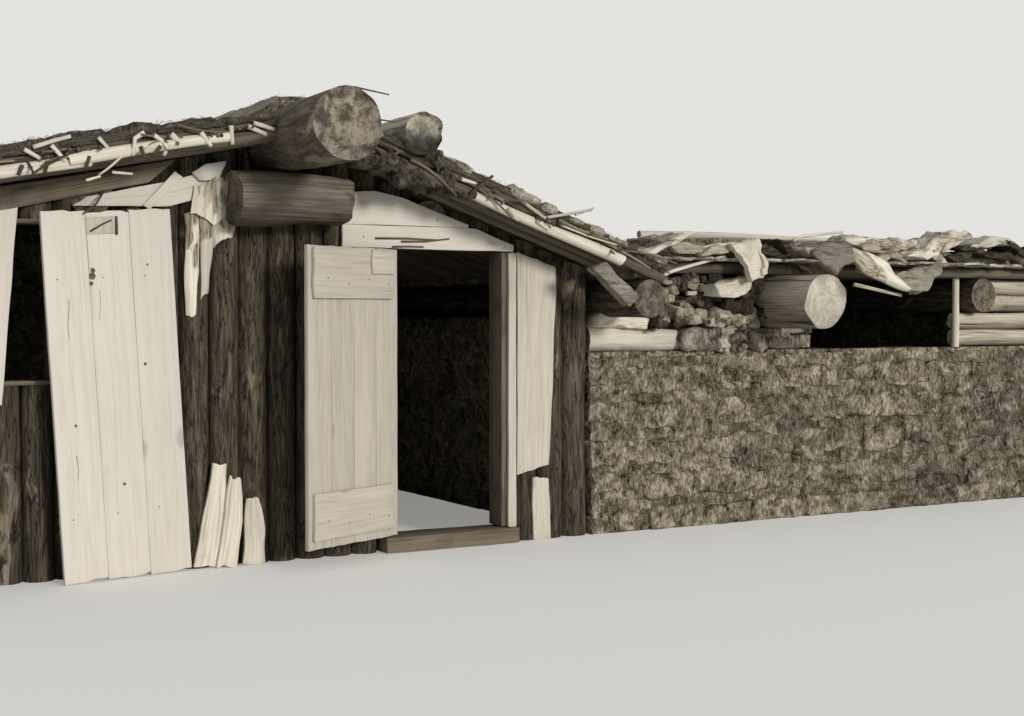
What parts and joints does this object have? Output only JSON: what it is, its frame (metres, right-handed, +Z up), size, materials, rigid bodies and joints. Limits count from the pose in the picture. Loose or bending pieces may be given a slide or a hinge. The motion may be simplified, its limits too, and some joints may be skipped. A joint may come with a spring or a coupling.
{
  "type": "turf house",
  "caption": "Low gabled house of turf and logs with a sod roof on a projecting ridge log, a ledged plank door that turns, and a lower flat-roofed wing.",
  "frame": {"origin": "middle of the doorway on the ground, on the underside of the sill log, in the plane of the door posts' front faces", "axes": "+X runs right along the front as seen from outside, +Y runs into the house, +Z is up"},
  "size_m": [9.8018, 5.94, 2.725],
  "materials": {
    "turf": "cut turf, laid dry in courses, with roots and dead grass",
    "sod": "roof sod with bleached grass",
    "brush": "cut brush and twigs with the bark on",
    "dark_log": "weathered cottonwood logs with the bark on",
    "bark_log": "thick weathered logs with checked bark and paler sawn ends",
    "peeled_pole": "poles peeled of their bark",
    "pale_board": "rough-sawn pale boards with knots",
    "door_plank": "weathered rough-sawn planks",
    "iron": "forged, dull and rusty"
  },
  "bodies": {
    "house": {"sill_log": "dark_log", "door_posts": "dark_log", "door_lintel": "dark_log", "hinge_pintles": "iron", "left_front_logs": "dark_log", "right_front_logs": "dark_log", "over_door_logs": "dark_log", "window_frame": "pale_board", "header_log": "bark_log", "left_gable_boards": "pale_board", "right_gable_boards": "pale_board", "jamb_boards": "pale_board", "plank_panel": "pale_board", "slanted_board": "pale_board", "foot_slabs": "pale_board", "left_turf_wall": "turf", "right_turf_wall": "turf", "rear_turf_wall": "turf", "wall_plates": "dark_log", "purlins": "dark_log", "ridge_log": "bark_log", "side_log": "bark_log", "left_poles": "dark_log", "right_poles": "dark_log", "rake_poles": "peeled_pole", "roof_brush": "brush", "left_sod": "sod", "right_sod": "sod", "ridge_sod": "sod", "wing_front_wall": "turf", "wing_right_wall": "turf", "wing_rear_wall": "turf", "wing_cap_log": "peeled_pole", "wing_blocks": "turf", "wing_big_log": "bark_log", "wing_bearers": "dark_log", "wing_poles": "dark_log", "wing_slabs": "pale_board", "wing_sod": "sod", "wing_post": "peeled_pole", "wing_log_panel": "peeled_pole", "wing_weights": "peeled_pole"},
    "door": {"door_planks": "door_plank", "door_ledges": "pale_board", "door_straps": "iron"}
  },
  "joints": [
    {"name": "door_hinge", "type": "hinge", "parent": "house", "child": "door", "pos_m": [-0.412, -0.0473, 0], "axis": [0, 0, 1], "range_deg": [-10, 155]}
  ]
}
